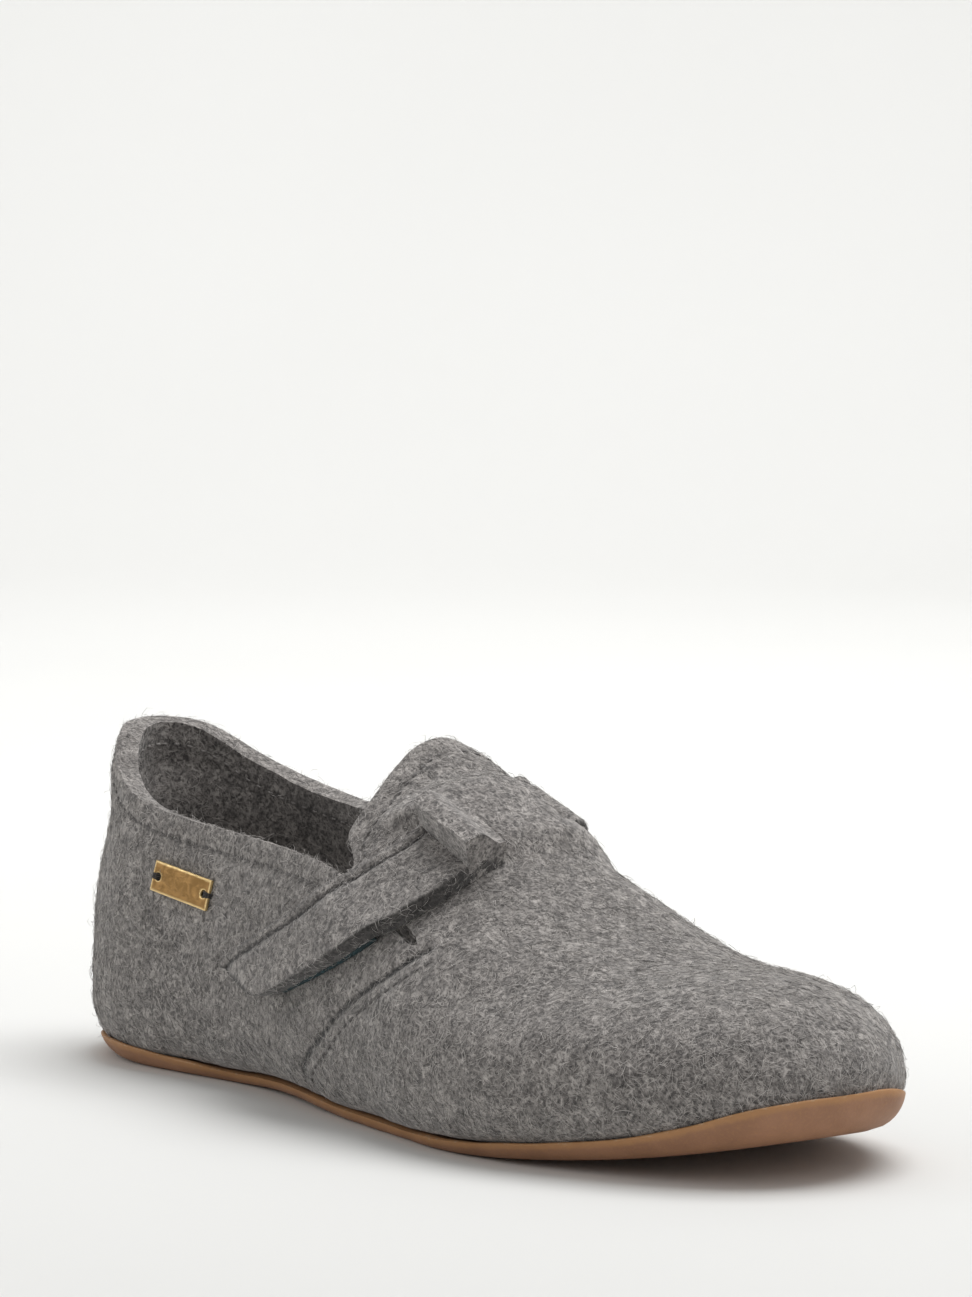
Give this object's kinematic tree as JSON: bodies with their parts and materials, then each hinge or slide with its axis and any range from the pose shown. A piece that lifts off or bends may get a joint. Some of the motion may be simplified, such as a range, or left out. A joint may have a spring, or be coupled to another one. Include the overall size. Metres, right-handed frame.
{
  "type": "felt slipper",
  "caption": "Right felt slipper: hollow grey felt upper with collar and tongue, wrap-up tan sole, felt insole, strap through a felt bridge with hook tape, bare brass plate",
  "frame": {"origin": "on the floor, under the middle of the shoe's box", "axes": "the shoe stands on its sole on z = 0, the toe points along -Y, the heel along +Y, and the outer (lateral) side of the foot is -X"},
  "size_m": [0.0944, 0.2633, 0.0845],
  "materials": {
    "grey felt": "thick wool felt, soft fuzzy surface",
    "tan sole rubber": "smooth matt tan sole rubber",
    "insole felt": "dark wool felt",
    "teal hook tape": "dark teal woven hook tape",
    "antique brass": "antique brass with bright worn edges"
  },
  "bodies": {
    "root": {"upper": "grey felt", "outsole": "tan sole rubber", "insole": "insole felt", "strap": "grey felt", "hook_tape": "teal hook tape", "brass_plate": "antique brass"}
  },
  "joints": []
}
